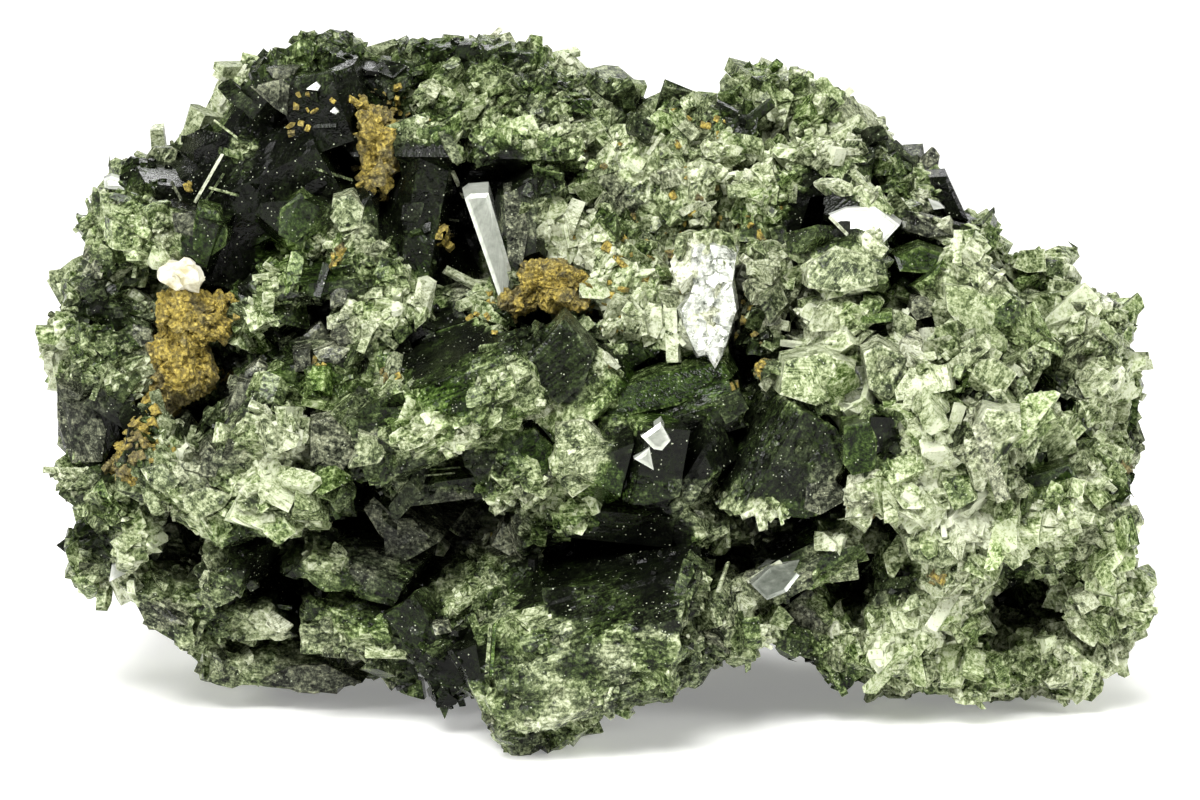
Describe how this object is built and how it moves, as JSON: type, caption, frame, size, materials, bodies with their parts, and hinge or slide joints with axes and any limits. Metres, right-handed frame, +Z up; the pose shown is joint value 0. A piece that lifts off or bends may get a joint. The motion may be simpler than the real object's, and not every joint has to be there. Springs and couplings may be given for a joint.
{
  "type": "rough epidote mineral specimen",
  "caption": "Rough cluster of intergrown green prismatic crystals and blocks with ochre crusts in its pockets, resting on its own uneven feet.",
  "frame": {"origin": "centre of the cluster's footprint box, on the surface it rests on", "axes": "+X along the cluster's length to the right as seen from the front, +Y away from the front, +Z up"},
  "size_m": [0.0794, 0.044, 0.0474],
  "materials": {
    "epidote": "glassy to frosted crystal faces",
    "limonite": "earthy crust",
    "white_mineral": "chalky"
  },
  "bodies": {
    "root": {"epidote_cluster": "epidote", "limonite_left": "limonite", "limonite_lower_left": "limonite", "limonite_middle": "limonite", "limonite_upper": "limonite", "white_chip": "white_mineral"}
  },
  "joints": []
}
